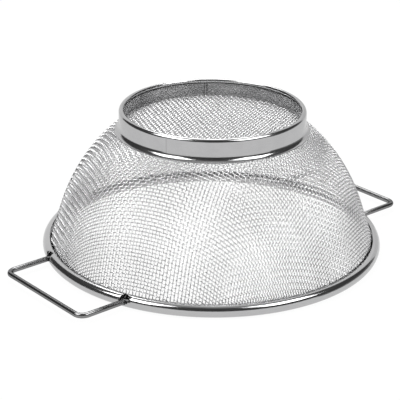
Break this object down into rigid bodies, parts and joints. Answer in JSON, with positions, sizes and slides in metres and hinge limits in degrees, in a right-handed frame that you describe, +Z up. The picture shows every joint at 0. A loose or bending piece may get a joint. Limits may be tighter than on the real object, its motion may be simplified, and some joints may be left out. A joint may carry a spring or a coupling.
{
  "type": "mesh strainer",
  "caption": "Bowl strainer of woven wire in a rolled steel rim, with a foot ring to stand on and a bent wire handle on each side.",
  "frame": {"origin": "centre of the plane that the rim stands on, as the strainer lies turned over with its foot ring up", "axes": "+Z up through the foot ring, +X through the right-hand handle, +Y across the handles"},
  "size_m": [0.295, 0.2398, 0.1022],
  "materials": {
    "mesh_steel": "drawn stainless wire",
    "rim_steel": "polished stainless sheet",
    "hoop_steel": "plain stainless wire, hidden in the rim",
    "handle_steel": "polished stainless wire",
    "foot_steel": "polished stainless sheet",
    "band_steel": "satin stainless sheet"
  },
  "bodies": {
    "root": {"mesh_bowl": "mesh_steel", "rim_tube": "rim_steel", "rim_hoop": "hoop_steel", "handle_right": "handle_steel", "handle_left": "handle_steel", "foot_outer_band": "foot_steel", "foot_inner_band": "band_steel"}
  },
  "joints": []
}
